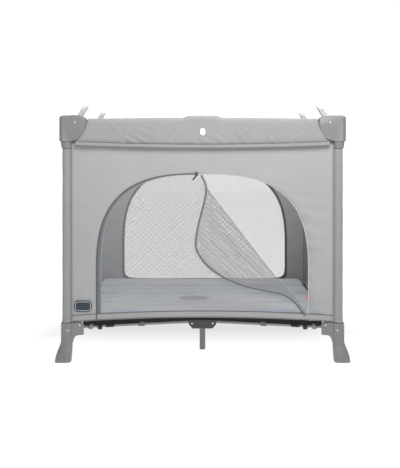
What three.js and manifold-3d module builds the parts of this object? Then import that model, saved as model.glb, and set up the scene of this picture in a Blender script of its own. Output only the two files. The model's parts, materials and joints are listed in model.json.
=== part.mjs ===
// A square folding travel playpen, standing open. Millimetres, +Z up, the front faces -Y.
// The origin is on the floor at the middle. Posts stand at the corners, two-part rails fold down at
// a latch in the middle of each side, and the floor frame folds up at its hub.
import * as THREE from 'three';
import { mergeVertices } from 'three/addons/utils/BufferGeometryUtils.js';
import Module from 'manifold-3d';

// ---- driving dimensions ----
const postAt = 448;            // post axes from the middle, in x and in y
const coverTop = 810;          // top of the corner covers
const footPivotZ = 112;        // hinge pins in the feet
const tilt = THREE.MathUtils.degToRad(1.72); // rails lock this far above level, floor arms below it

const postRadius = 12.5;
const tubeWall = 1.4;
const railRadius = 8;
const armRadius = 8.5;
const legRadius = 10.25;
const pinRadius = 4;
const fit = 0.3;               // gap between pieces that touch
const pinPlay = 0.5;           // a tube's eye is this much wider than its pin
const openPlay = 1.2;          // the same, at the latch end that closes each side's linkage
const swing = 3.5;             // room between a turning tube end and the block behind it
const sidePlay = 1.8;          // room beside a tube between its cheeks

const socketWall = 3.7;        // corner cover, between post and rail
const coverOut = postRadius + 10.5; // cover's outer face from the post axis
const coverIn = postRadius + 7.5;   // cover's inner face
const coverSkin = 4.5;
const coverDrop = 86;          // bottom of the wings below the cover's top
const collarDrop = 109;        // bottom of the collar below the cover's top

const latchBlock = 25;         // half length of the latch's solid middle
const latchEnd = 12;           // latch beyond its pins
const latchCheek = 3.2;
const latchRise = 2.8;         // latch above the rails in it, which swing up out of its open slots
const buttonDrop = 27;         // the button's middle below the hinge pins
const buttonWide = 18;
const buttonHigh = 24;
const buttonPress = 4;

const padWall = 6.5;           // padded rail cover
const padDrop = 110;           // its bottom below the covers' top
const padEnd = postAt - 24;

const jointBlock = 23.5;       // floor joint: half length of its solid middle
const crossBlock = 14;         // the same for the cross tubes' blocks
const jointCheek = 5.2;
const jointHeight = 36;
const jointHalfWidth = 47.5;
const jointHalfDepth = 20;

const footTop = 125;
const footWide = postRadius + 5.5; // half width of the foot round the post
const footPad = footWide + 8.7;    // half width of the foot on the floor
const footSplay = 10.3;        // how far the foot's floor end is set outwards
const footSeat = 71.7;         // the post stands at this height in the foot

const clothThick = 4;
const wallHalf = postAt - postRadius - 1.5;
const wallBottom = 127;
const hemRise = 15;            // the hem is this much higher in the middle of a side
const wallTop = coverTop - 112;
const windowHalf = postAt - 99;
const windowSill = 157;
const windowSpring = 290;      // height where the arch starts
const windowRise = wallTop - windowSpring - 82.5;
const archPower = 2.8;

const floorHalf = postAt - 18;
const floorZ = 127;
const mattressHalf = postAt - 35;
const mattressThick = 25.5;
const strapHoleX = 18;
const strapHoleY = 26;

// ---- sizes worked out from them ----
const railPivotZ = coverTop - railRadius - 21; // hinge pins in the corner covers
const cornerPivot = postRadius + fit + socketWall + swing + railRadius;
const coverReach = cornerPivot + 38; // how far a cover's wings reach along the rails
const latchPivot = latchBlock + swing + 0.5 + railRadius;
const run = postAt - cornerPivot - latchPivot;
const jointPivot = jointBlock + swing + armRadius;
const crossPivot = crossBlock + swing + armRadius;
const footPivotX = cornerPivot + latchPivot - jointPivot;
const footPivotY = cornerPivot + latchPivot - 2 * crossPivot;
const footReach = Math.hypot(footPivotX, footPivotY);
const footWing = footReach + 22;   // reach of the foot's wing towards the floor arm
const armAngle = Math.atan2(footPivotY, footPivotX);
const armRun = run / Math.cos(armAngle);
const jointInset = postAt - footPivotY - run * Math.tan(armAngle); // floor joints from the middle, in y
const crossRun = jointInset - 2 * crossPivot;
const latchPivotZ = railPivotZ + run * Math.tan(tilt);
const jointPivotZ = footPivotZ - armRun * Math.tan(tilt);
const hubPivotZ = jointPivotZ - crossRun * Math.tan(tilt);
const latchSlot = railRadius + sidePlay;
const latchHalfWidth = latchSlot + latchCheek;
const padHalf = latchHalfWidth + 9;  // half thickness of the padded rail cover
const padBottom = coverTop - padDrop;
const buttonZ = railPivotZ - buttonDrop;
const latchTop = latchPivotZ + railRadius + latchRise;
const armSlot = armRadius + 0.8;
const mattressZ = floorZ + clothThick + fit + 0.2;

// ---- materials ----
const paint = (color, roughness = 0.8, metalness = 0) =>
  new THREE.MeshStandardMaterial({ color, roughness, metalness });
const sleeveGrey = paint(0xa6a8aa);
const mouldedGrey = paint(0x8f8f92, 0.45);
const footGrey = paint(0x7d7f80, 0.5);
const jointGrey = paint(0x555658, 0.5);
const steelGrey = paint(0x8a8c8e, 0.4, 0.7);
const whitePlastic = paint(0xf2f2f2, 0.4);
const padGrey = paint(0xb2b3b6);
const wallGrey = paint(0xc0c1c4);
const meshGrey = paint(0xd6d6d8);
const floorBlack = paint(0x2a2b2d);
const mattressPrint = paint(0xb9b9c4);
const badgeNavy = paint(0x2b3148, 0.5);
const zipGrey = paint(0x4b4e52, 0.5);

// ---- building blocks ----
const wasm = await Module();
wasm.setup();
const Z = new THREE.Vector3(0, 0, 1);

function solid(geometry) {
  const bare = geometry.clone();
  bare.deleteAttribute('normal');
  bare.deleteAttribute('uv');
  const merged = mergeVertices(bare, 1e-3);
  return new wasm.Manifold(new wasm.Mesh({
    numProp: 3,
    vertProperties: new Float32Array(merged.attributes.position.array),
    triVerts: new Uint32Array(merged.index.array),
  }));
}

function shell(body) {
  const mesh = body.getMesh();
  const geometry = new THREE.BufferGeometry();
  geometry.setAttribute('position', new THREE.BufferAttribute(new Float32Array(mesh.vertProperties), 3));
  geometry.setIndex(new THREE.BufferAttribute(new Uint32Array(mesh.triVerts), 1));
  return geometry;
}

// One geometry joined from `pieces`, less every one of `cuts`.
function carve(pieces, cuts = []) {
  let body = pieces.map(solid).reduce((a, b) => a.add(b));
  for (const cut of cuts) body = body.subtract(solid(cut));
  return shell(body);
}

function transformed(geometry, matrix) {
  const copy = geometry.clone().applyMatrix4(matrix);
  if (matrix.determinant() > 0) return copy;
  const index = copy.index ?? new THREE.BufferAttribute(
    Uint32Array.from({ length: copy.attributes.position.count }, (_, i) => i), 1);
  for (let i = 0; i < index.count; i += 3) {
    const first = index.getX(i);
    index.setX(i, index.getX(i + 1));
    index.setX(i + 1, first);
  }
  copy.setIndex(index);
  return copy;
}

const mirrored = (geometry, x, y) => transformed(geometry, new THREE.Matrix4().makeScale(x, y, 1));
const swapXY = (geometry) => transformed(
  geometry, new THREE.Matrix4().set(0, 1, 0, 0, 1, 0, 0, 0, 0, 0, 1, 0, 0, 0, 0, 1));

function boxBetween(low, high) {
  const size = high.map((v, i) => v - low[i]);
  return new THREE.BoxGeometry(...size)
    .translate(...low.map((v, i) => v + size[i] / 2));
}

// A round bar from `a` to `b`.
function bar(a, b, radius, sides = 10) {
  const from = new THREE.Vector3(...a);
  const along = new THREE.Vector3(...b).sub(from);
  const turn = new THREE.Quaternion().setFromUnitVectors(
    new THREE.Vector3(0, 1, 0), along.clone().normalize());
  return new THREE.CylinderGeometry(radius, radius, along.length(), sides)
    .applyQuaternion(turn)
    .translate(...from.addScaledVector(along, 0.5).toArray());
}

// An outline drawn in x and z, `depth` thick and centred on y = `middle`.
function upright(shape, depth, middle = 0, bevel = 0, curveSegments = 4) {
  const geometry = new THREE.ExtrudeGeometry(shape, {
    depth: depth - 2 * bevel,
    bevelEnabled: bevel > 0,
    bevelThickness: bevel,
    bevelSize: bevel,
    bevelOffset: -bevel,
    bevelSegments: 1,
    curveSegments,
  });
  return geometry.rotateX(Math.PI / 2).translate(0, middle + depth / 2 - bevel, 0);
}

function roundedRect(wide, high, radius) {
  const x = wide / 2;
  const y = high / 2;
  const shape = new THREE.Shape();
  shape.moveTo(-x + radius, -y);
  shape.lineTo(x - radius, -y);
  shape.absarc(x - radius, -y + radius, radius, -Math.PI / 2, 0);
  shape.lineTo(x, y - radius);
  shape.absarc(x - radius, y - radius, radius, 0, Math.PI / 2);
  shape.lineTo(-x + radius, y);
  shape.absarc(-x + radius, y - radius, radius, Math.PI / 2, Math.PI);
  shape.lineTo(-x, -y + radius);
  shape.absarc(-x + radius, -y + radius, radius, Math.PI, Math.PI * 1.5);
  return shape;
}

// Rings of rounded squares stacked upwards, for a shape that flares and shifts with height.
function stacked(levels, sides = 24, power = 4) {
  const geometry = new THREE.CylinderGeometry(1, 1, 1, sides, levels.length - 1).rotateX(Math.PI / 2);
  const place = geometry.attributes.position;
  for (let i = 0; i < place.count; i++) {
    const level = levels[Math.round((place.getZ(i) + 0.5) * (levels.length - 1))];
    const [x, y] = [place.getX(i), place.getY(i)];
    const spread = Math.hypot(x, y);
    const angle = Math.atan2(y, x);
    const reach = spread * level.half
      / (Math.abs(Math.cos(angle)) ** power + Math.abs(Math.sin(angle)) ** power) ** (1 / power);
    place.setXYZ(i, level.at + reach * Math.cos(angle), level.at + reach * Math.sin(angle), level.z);
  }
  return geometry;
}

// A tube with a round eye at each end, from eye centre to eye centre along x; the pins run along y.
function eyedTube(length, radius, playStart, playEnd) {
  const eye = (x, r, reach) => bar([x, -reach, 0], [x, reach, 0], r, 12);
  return carve(
    [bar([0, 0, 0], [length, 0, 0], radius, 12), eye(0, radius, radius), eye(length, radius, radius)],
    [
      bar([0, 0, 0], [length, 0, 0], radius - tubeWall, 6),
      eye(0, pinRadius + playStart, radius + 1),
      eye(length, pinRadius + playEnd, radius + 1),
    ],
  );
}

const playpen = new THREE.Group();

function addPiece(name, geometry, material) {
  const mesh = new THREE.Mesh(geometry, material);
  mesh.name = name;
  playpen.add(mesh);
  return mesh;
}

// Turns and places a mesh made along +x so that it runs from `a` to `b`, with its pins level.
function layAlong(mesh, a, b) {
  const from = new THREE.Vector3(...a);
  const along = new THREE.Vector3(...b).sub(from).normalize();
  const pin = new THREE.Vector3().crossVectors(Z, along).normalize();
  const up = new THREE.Vector3().crossVectors(along, pin);
  mesh.quaternion.setFromRotationMatrix(new THREE.Matrix4().makeBasis(along, pin, up));
  mesh.position.copy(from);
  return mesh;
}

// ---- posts, feet and corner covers ----
function postTube() {
  const [low, high] = [footSeat + fit, coverTop - 20];
  const profile = [
    [postRadius - tubeWall, low], [postRadius, low], [postRadius, high],
    [postRadius - tubeWall, high], [postRadius - tubeWall, low],
  ];
  return new THREE.LatheGeometry(profile.map(([r, z]) => new THREE.Vector2(r, z)), 14)
    .rotateX(Math.PI / 2);
}

// A wing of the corner cover as seen from outside: u runs inwards from the post axis.
// `grow` moves the edges outwards, for the clearance that the padding keeps to it.
function shieldOutline(grow = 0) {
  const [left, right] = [-coverOut - grow, coverReach + grow];
  const [low, high] = [coverTop - coverDrop - grow, coverTop + grow];
  const shape = new THREE.Shape();
  shape.moveTo(left, low);
  shape.lineTo(left, high - 20);
  shape.quadraticCurveTo(left, high - 6, left + 16, high - 4.5);
  shape.quadraticCurveTo(right - 30, high + 4.5, right - 9, high - 7);
  shape.quadraticCurveTo(right, high - 10, right, high - 20);
  shape.bezierCurveTo(right + 1, high - 42, right - 14, low + 1, coverOut - 5, low);
  shape.closePath();
  return shape;
}

function cornerCover() {
  const middle = (coverIn - coverOut) / 2;
  const side = new THREE.Shape();
  side.moveTo(-coverOut, coverTop - 150);
  side.lineTo(coverIn, coverTop - 150);
  side.lineTo(coverIn, coverTop - 8);
  side.absarc(coverIn - 8, coverTop - 8, 8, 0, Math.PI / 2);
  side.absarc(-coverOut + 12, coverTop - 12, 12, Math.PI / 2, Math.PI);
  const rounder = new THREE.ExtrudeGeometry(side, { depth: 150, bevelEnabled: false, curveSegments: 5 })
    .rotateX(Math.PI / 2).rotateZ(Math.PI / 2).translate(-50, 0, 0);
  const wing = shell(solid(upright(shieldOutline(), coverIn + coverOut, middle, 2.5, 8))
    .intersect(solid(rounder)));
  const collarTop = coverTop - coverDrop + 3;
  const collarFoot = coverTop - collarDrop;
  const collar = new THREE.CylinderGeometry(coverOut - 2, coverOut - 5.5, collarTop - collarFoot, 24)
    .rotateX(Math.PI / 2).translate(0, 0, (collarTop + collarFoot) / 2);
  const blockEdge = postRadius + fit + socketWall;
  const cavity = boxBetween(
    [blockEdge, -coverOut + coverSkin, collarFoot - 1],
    [coverReach + 1, coverIn - coverSkin, railPivotZ + railRadius + 3],
  );
  const pin = bar([cornerPivot, -coverOut + 2, railPivotZ], [cornerPivot, coverIn - 2, railPivotZ],
    pinRadius);
  const socket = bar([0, 0, collarFoot - 1], [0, 0, coverTop - 20 + fit], postRadius + fit, 14);
  const plan = new THREE.Shape();
  const corner = 13;
  const far = coverReach + 5;
  plan.moveTo(-coverOut + corner, -coverOut);
  plan.lineTo(far, -coverOut);
  plan.lineTo(far, far);
  plan.lineTo(-coverOut, far);
  plan.lineTo(-coverOut, -coverOut + corner);
  plan.absarc(-coverOut + corner, -coverOut + corner, corner, Math.PI, Math.PI * 1.5);
  const rounding = new THREE.ExtrudeGeometry(plan, { depth: 200, bevelEnabled: false, curveSegments: 5 })
    .translate(0, 0, coverTop - 150);
  const outer = solid(wing).add(solid(swapXY(wing))).add(solid(collar)).intersect(solid(rounding));
  return shell(outer
    .subtract(solid(cavity)).subtract(solid(swapXY(cavity)))
    .subtract(solid(socket))
    .add(solid(pin)).add(solid(swapXY(pin))));
}

function foot() {
  const flareTop = 62;
  const spread = (share) => footWide + 0.5 + share * (footPad - footWide - 0.5);
  const body = stacked([
    { z: 0, at: -footSplay, half: footPad },
    { z: 20, at: -footSplay * 0.78, half: spread(0.9) },
    { z: 34, at: -footSplay * 0.52, half: spread(0.65) },
    { z: 48, at: -footSplay * 0.22, half: spread(0.35) },
    { z: flareTop, at: 0, half: spread(0) },
    { z: footTop, at: 0, half: footWide },
  ]);
  const under = 83;
  const side = new THREE.Shape();
  side.moveTo(0, flareTop - 2);
  side.lineTo(footWide, flareTop - 2);
  side.quadraticCurveTo(footWide + 2, under, footWide + 16, under);
  side.lineTo(footWing - 3, under);
  side.quadraticCurveTo(footWing, under, footWing, under + 3);
  side.lineTo(footWing, footTop - 5);
  side.quadraticCurveTo(footWing, footTop, footWing - 5, footTop);
  side.lineTo(0, footTop);
  side.closePath();
  const cheekOut = armSlot + jointCheek;
  const wing = upright(side, 2 * cheekOut, 0, 1.5);
  const slot = boxBetween(
    [footReach - armRadius - swing + 1.6, -armSlot, footPivotZ - armRadius - 2],
    [footWing + 10, armSlot, footTop + 10],
  );
  const pin = bar([footReach, -armSlot - 2, footPivotZ], [footReach, armSlot + 2, footPivotZ],
    pinRadius);
  const socket = bar([0, 0, footSeat], [0, 0, footTop + 5], postRadius + fit, 14);
  for (const piece of [wing, slot, pin]) piece.rotateZ(armAngle);
  return shell(solid(body).add(solid(wing)).subtract(solid(slot)).subtract(solid(socket))
    .add(solid(pin)));
}

const corners = [
  ['front_left', -1, -1], ['front_right', 1, -1], ['back_left', -1, 1], ['back_right', 1, 1],
];
const [coverShape, footShape, postShape] = [cornerCover(), foot(), postTube()];
for (const [name, x, y] of corners) {
  const stand = [x * postAt, y * postAt, 0];
  addPiece(`post_${name}`, postShape, steelGrey).position.set(...stand);
  addPiece(`corner_cover_${name}`, mirrored(coverShape, -x, -y), mouldedGrey).position.set(...stand);
  addPiece(`foot_${name}`, mirrored(footShape, -x, -y), footGrey).position.set(...stand);
}

// ---- one side: two half rails, a latch with its button, and the padding round them ----
// Made for the front, along x, at y = 0; `turns` quarter turns about z take it to its side.
function latchHousing() {
  const half = latchPivot + latchEnd;
  const low = latchPivotZ - railRadius - 3;
  const profile = new THREE.Shape();
  const drop = buttonZ - buttonHigh / 2 - 5;
  const block = latchBlock - 3;
  profile.moveTo(-half, low);
  profile.lineTo(-block, low);
  profile.lineTo(-block, drop + 5);
  profile.quadraticCurveTo(-block, drop, -block + 5, drop);
  profile.lineTo(block - 5, drop);
  profile.quadraticCurveTo(block, drop, block, drop + 5);
  profile.lineTo(block, low);
  profile.lineTo(half, low);
  profile.lineTo(half, latchTop - 5);
  profile.quadraticCurveTo(half, latchTop, half - 5, latchTop);
  profile.lineTo(-half + 5, latchTop);
  profile.quadraticCurveTo(-half, latchTop, -half, latchTop - 5);
  const slot = (sign) => {
    const ends = [sign * latchBlock, sign * (half + 1)].sort((a, b) => a - b);
    return boxBetween([ends[0], -latchSlot, low - 1], [ends[1], latchSlot, latchTop + 1]);
  };
  const pin = (x) => bar(
    [x, -latchSlot - 2, latchPivotZ], [x, latchSlot + 2, latchPivotZ], pinRadius);
  const pocket = upright(roundedRect(buttonWide + 2 * fit + 1, buttonHigh + 2 * fit + 1,
    buttonWide / 2 + fit), latchHalfWidth, -latchHalfWidth).translate(0, 0, buttonZ);
  return shell(solid(upright(profile, 2 * latchHalfWidth, 0, 1.2))
    .subtract(solid(slot(1))).subtract(solid(slot(-1))).subtract(solid(pocket))
    .add(solid(pin(latchPivot))).add(solid(pin(-latchPivot))));
}

function latchButton() {
  const front = -padHalf - 3;
  const back = -latchHalfWidth / 2 - buttonPress - fit;
  return upright(roundedRect(buttonWide, buttonHigh, buttonWide / 2 - 0.5), back - front,
    (front + back) / 2, 1.5, 4).translate(0, 0, buttonZ);
}

const padEndTop = railPivotZ + railRadius + 8;
const padCrown = latchTop + 3.5;
const padCrownHalf = latchPivot + latchEnd + 14;

// Height of the pad's top, `along` from the middle of its side.
function padTop(along) {
  const share = Math.min(1, (padEnd - along) / (padEnd - padCrownHalf));
  return padEndTop + (padCrown - padEndTop) * share;
}

function railPad() {
  const outline = (inset) => {
    const shape = new THREE.Shape();
    const low = inset ? padBottom - 5 : padBottom;
    const out = inset ? padEnd + 5 : padEnd;
    shape.moveTo(-out, low);
    shape.lineTo(out, low);
    shape.lineTo(out, padEndTop - inset);
    shape.lineTo(padCrownHalf, padCrown - inset);
    shape.lineTo(-padCrownHalf, padCrown - inset);
    shape.lineTo(-out, padEndTop - inset);
    return shape;
  };
  const keepout = (side) => mirrored(
    upright(shieldOutline(3), 3 * padHalf, 0, 0, 8).translate(-postAt, 0, 0), side, 1);
  const hole = upright(roundedRect(buttonWide + 5, buttonHigh + 5, buttonWide / 2 + 2),
    2 * padWall, -padHalf).translate(0, 0, buttonZ);
  return carve(
    [upright(outline(0), 2 * padHalf)],
    [upright(outline(3), 2 * (padHalf - padWall)), keepout(1), keepout(-1), hole],
  );
}

const railLength = run / Math.cos(tilt);
const pinnedRail = eyedTube(railLength, railRadius, pinPlay, pinPlay);
const openRail = eyedTube(railLength, railRadius, pinPlay, openPlay);
const [latchShape, buttonShape, padShape] = [latchHousing(), latchButton(), railPad()];
const sides = [
  { name: 'front', turns: 0, low: 'left', high: 'right', pinned: 'left' },
  { name: 'right', turns: 1, low: 'front', high: 'back', pinned: 'front' },
  { name: 'back', turns: 2, low: 'right', high: 'left', pinned: 'left' },
  { name: 'left', turns: 3, low: 'back', high: 'front', pinned: 'front' },
];
for (const side of sides) {
  const quarter = new THREE.Matrix4().makeRotationZ(side.turns * Math.PI / 2);
  const spot = (x, z) => new THREE.Vector3(x, -postAt, z).applyMatrix4(quarter).toArray();
  const put = (name, geometry, material) => {
    const mesh = addPiece(name, geometry, material);
    mesh.rotation.z = side.turns * Math.PI / 2;
    mesh.position.set(...spot(0, 0));
  };
  for (const [half, sign] of [[side.low, -1], [side.high, 1]]) {
    const rail = addPiece(`${side.name}_rail_${half}`,
      half === side.pinned ? pinnedRail : openRail, steelGrey);
    layAlong(rail, spot(sign * (postAt - cornerPivot), railPivotZ), spot(sign * latchPivot, latchPivotZ));
  }
  put(`${side.name}_latch`, latchShape, mouldedGrey);
  put(`${side.name}_latch_button`, buttonShape, whitePlastic);
  put(`${side.name}_rail_pad`, padShape, padGrey);
}

// ---- the floor frame: arms from the feet to two joints, cross tubes from those to the hub ----
// A slot for a tube that leaves along +x from `pivot`, open upwards or downwards.
function tubeSlot(pivot, z, opensUp, length) {
  const clear = armRadius + 1.3;
  return boxBetween(
    [pivot - armRadius - swing, -armSlot, opensUp ? z - clear : z - 60],
    [pivot + length, armSlot, opensUp ? z + 60 : z + clear],
  );
}

function floorJoint() {
  const top = jointPivotZ + armRadius + 2.8;
  const low = top - jointHeight;
  const face = new THREE.Shape();
  face.moveTo(-jointHalfWidth + 13, low);
  face.lineTo(jointHalfWidth - 13, low);
  face.lineTo(jointHalfWidth, low + 14);
  face.lineTo(jointHalfWidth, top);
  face.lineTo(-jointHalfWidth, top);
  face.lineTo(-jointHalfWidth, low + 14);
  face.closePath();
  const earEnd = crossPivot + armRadius + 2.5;
  const ears = boxBetween([-armSlot - jointCheek, 5, jointPivotZ - 14],
    [armSlot + jointCheek, earEnd, jointPivotZ + armRadius + 1.5]);
  const aimed = (geometry, angle, x) => geometry.rotateZ(angle).translate(x, 0, 0);
  const cuts = [];
  const pins = [];
  for (const sign of [1, -1]) {
    const angle = sign > 0 ? -armAngle : Math.PI + armAngle;
    cuts.push(aimed(tubeSlot(0, jointPivotZ, false, 40), angle, sign * jointPivot));
    pins.push(aimed(bar([0, -armSlot - 2, jointPivotZ], [0, armSlot + 2, jointPivotZ], pinRadius),
      angle, sign * jointPivot));
  }
  cuts.push(tubeSlot(crossPivot, jointPivotZ, true, 40).rotateZ(Math.PI / 2));
  pins.push(bar([-armSlot - 2, crossPivot, jointPivotZ], [armSlot + 2, crossPivot, jointPivotZ],
    pinRadius));
  cuts.push(bar([0, 0, low - 5], [0, 0, jointPivotZ + 6 + fit], legRadius + fit, 16));
  let body = solid(upright(face, 2 * jointHalfDepth, 0, 1.5)).add(solid(ears));
  for (const cut of cuts) body = body.subtract(solid(cut));
  for (const pin of pins) body = body.add(solid(pin));
  return shell(body);
}

function centreLeg() {
  const top = jointPivotZ + 6;
  const inner = legRadius - tubeWall;
  const profile = [[0, 0], [legRadius - 1, 0], [legRadius, 1], [legRadius, top], [inner, top],
    [inner, 4], [0, 4]];
  return new THREE.LatheGeometry(profile.map(([r, z]) => new THREE.Vector2(r, z)), 14)
    .rotateX(Math.PI / 2);
}

const hubTop = hubPivotZ + armRadius + 3.5;
function hub() {
  const low = hubPivotZ - 15;
  const plan = roundedRect(2 * (armSlot + 10), 2 * (crossPivot + armRadius + 2.5), 12);
  const block = new THREE.ExtrudeGeometry(plan, {
    depth: hubTop - low - 4, bevelThickness: 2, bevelSize: 2, bevelOffset: -2, bevelSegments: 1,
    curveSegments: 5,
  }).translate(0, 0, low + 2);
  const slots = [1, 3].map((q) => tubeSlot(crossPivot, hubPivotZ, false, 40).rotateZ(q * Math.PI / 2));
  let body = solid(block);
  for (const slot of slots) body = body.subtract(solid(slot));
  for (const y of [crossPivot, -crossPivot]) {
    body = body.add(solid(bar([-armSlot - 2, y, hubPivotZ], [armSlot + 2, y, hubPivotZ], pinRadius)));
  }
  return shell(body);
}

// A strap bent into an arch, `wide` across, as a closed ribbon drawn in x and z.
function archStrap(span, height, thick, wide) {
  const arch = (inset, shape, back) => {
    const half = span / 2 - inset;
    const spring = height - span / 2;
    if (back) {
      shape.lineTo(half, 0);
      shape.lineTo(half, spring);
      shape.absarc(0, spring, half, 0, Math.PI, false);
      shape.lineTo(-half, 0);
    } else {
      shape.moveTo(-half, 0);
      shape.lineTo(-half, spring);
      shape.absarc(0, spring, half, Math.PI, 0, true);
      shape.lineTo(half, 0);
    }
  };
  const shape = new THREE.Shape();
  arch(0, shape, false);
  arch(thick, shape, true);
  return upright(shape, wide);
}

const armLength = armRun / Math.cos(tilt);
const armShape = eyedTube(armLength, armRadius, pinPlay, pinPlay);
for (const [name, x, y] of corners) {
  layAlong(addPiece(`floor_arm_${name}`, armShape, steelGrey),
    [x * (postAt - footPivotX), y * (postAt - footPivotY), footPivotZ],
    [x * jointPivot, y * jointInset, jointPivotZ]);
}
const [jointShape, legShape] = [floorJoint(), centreLeg()];
const crossShape = eyedTube(crossRun / Math.cos(tilt), armRadius, pinPlay, pinPlay);
for (const [name, y] of [['front', -1], ['back', 1]]) {
  addPiece(`floor_joint_${name}`, mirrored(jointShape, 1, -y), jointGrey).position.y = y * jointInset;
  addPiece(`centre_leg_${name}`, legShape, steelGrey).position.y = y * jointInset;
  layAlong(addPiece(`cross_tube_${name}`, crossShape, steelGrey),
    [0, y * (jointInset - crossPivot), jointPivotZ], [0, y * crossPivot, hubPivotZ]);
}
addPiece('floor_hub', hub(), jointGrey);
const strapShape = archStrap(40, floorZ + clothThick - hubTop - 1, 2, 25);
const strap = addPiece('hub_pull_strap', strapShape, whitePlastic);
strap.rotation.z = Math.PI / 2;
strap.position.z = hubTop + fit;

// ---- cloth: walls, door, floor, mattress ----
// The arched window's edge from its right foot over the top to its left foot.
function archEdge(shrink, steps = 28) {
  const points = [];
  for (let i = 0; i <= steps; i++) {
    const angle = Math.PI * i / steps;
    const [c, s] = [Math.cos(angle), Math.sin(angle)];
    points.push(new THREE.Vector2(
      Math.sign(c) * (windowHalf - shrink) * Math.abs(c) ** (2 / archPower),
      windowSpring + (windowRise - shrink) * s ** (2 / archPower),
    ));
  }
  return points;
}

function wallOutline() {
  const shape = new THREE.Shape();
  shape.moveTo(-wallHalf, wallBottom);
  shape.quadraticCurveTo(0, wallBottom + 2 * hemRise, wallHalf, wallBottom);
  shape.lineTo(wallHalf, wallTop);
  shape.lineTo(-wallHalf, wallTop);
  return shape;
}

const sheetY = -postAt - clothThick / 2;
const wallShape = upright(wallOutline(), clothThick, 0, 0, 12);
for (const side of sides) {
  const window = new THREE.Path([
    new THREE.Vector2(windowHalf, windowSill), ...archEdge(0), new THREE.Vector2(-windowHalf, windowSill),
  ]);
  const outline = wallOutline();
  if (side.name === 'front') outline.holes.push(window);
  const geometry = side.name === 'front' ? upright(outline, clothThick, 0, 0, 12) : wallShape;
  const mesh = addPiece(`wall_${side.name}`, geometry, wallGrey);
  mesh.rotation.z = side.turns * Math.PI / 2;
  mesh.position.set(0, sheetY, 0).applyAxisAngle(Z, side.turns * Math.PI / 2);
}

// The mesh door: zipped in along the left half of the arch, its other half folded over to the left,
// so that its outline ends at the fold from near the slider down to the right foot of the arch.
const doorGap = 1;
const foldTop = [10, windowSpring + windowRise - 52.5];
const foldLow = [windowHalf - 57, windowSill + 69];
const door = new THREE.Shape();
door.moveTo(-windowHalf + doorGap, windowSill + doorGap);
door.lineTo(windowHalf - 12, windowSill + doorGap);
door.lineTo(...foldLow);
door.lineTo(...foldTop);
for (const point of archEdge(doorGap).filter((p) => p.x < 1)) door.lineTo(point.x, point.y);
addPiece('door_panel', upright(door, clothThick - 1), meshGrey).position.y = sheetY;

const floorPlan = roundedRect(2 * floorHalf, 2 * floorHalf, 20);
const slotPath = new THREE.Path([[-1, -1], [-1, 1], [1, 1], [1, -1]].map(
  ([x, y]) => new THREE.Vector2(x * strapHoleX, y * strapHoleY)));
floorPlan.holes.push(slotPath);
addPiece('floor_panel', new THREE.ExtrudeGeometry(floorPlan, {
  depth: clothThick, bevelEnabled: false, curveSegments: 4,
}), floorBlack).position.z = floorZ;
addPiece('mattress', new THREE.ExtrudeGeometry(roundedRect(2 * mattressHalf, 2 * mattressHalf, 30), {
  depth: mattressThick - 8, bevelThickness: 4, bevelSize: 4, bevelOffset: -4, bevelSegments: 1,
  curveSegments: 5,
}), mattressPrint).position.z = mattressZ + 4;

// ---- trim on the cloth ----
const clothFront = -postAt - clothThick;
const sliderX = -20;
const archTop = windowSpring + windowRise;
addPiece('zip_slider', upright(roundedRect(9, 13, 3), 5, 0, 1), zipGrey)
  .position.set(sliderX, clothFront - 2.5 - fit, archTop);
const pull = upright(roundedRect(6, 24, 2.5), 1.8, 0, 0.4).translate(0, 0, -9);
const pullMesh = addPiece('zip_pull', pull, zipGrey);
pullMesh.position.set(sliderX, clothFront - 5 - 0.9 - 2 * fit, archTop - 3);
pullMesh.rotation.y = THREE.MathUtils.degToRad(35);
addPiece('badge', upright(roundedRect(58, 37, 14), 2.5, 0, 0.8), badgeNavy)
  .position.set(-windowHalf - 45, clothFront - 1.25 - fit, windowSill + 23);

// Grab loops that a child pulls up by, two on each side rail, leaning inwards.
const loopAt = postAt - 151;
const loopSpan = 28;
const loopLean = Math.tan(THREE.MathUtils.degToRad(31));
const loopX = postAt - padHalf + 3.5;
const loopBase = padTop(loopAt - loopSpan / 2) + fit;
for (const [sideName, x] of [['left', -1], ['right', 1]]) {
  const lean = new THREE.Matrix4().set(1, 0, -x * loopLean, 0, 0, 1, 0, 0, 0, 0, 1, 0, 0, 0, 0, 1);
  const loopShape = archStrap(loopSpan, 45, 2, 19).rotateZ(Math.PI / 2).applyMatrix4(lean);
  for (const [endName, y] of [['front', -1], ['back', 1]]) {
    addPiece(`grab_loop_${sideName}_${endName}`, loopShape, whitePlastic)
      .position.set(x * loopX, y * loopAt, loopBase);
  }
}

export default playpen;
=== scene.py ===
"""A grey square travel playpen, standing open, with its mesh door half unzipped and folded over.

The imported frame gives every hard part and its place. This script makes the cloth, the padding and
the finer plastic round it, and the light and camera. Metres, +Z up, the door faces -Y.
"""
import json
import math

import bmesh
import bpy
import numpy as np
from mathutils import Matrix, Vector, noise
from mathutils.bvhtree import BVHTree


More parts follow.
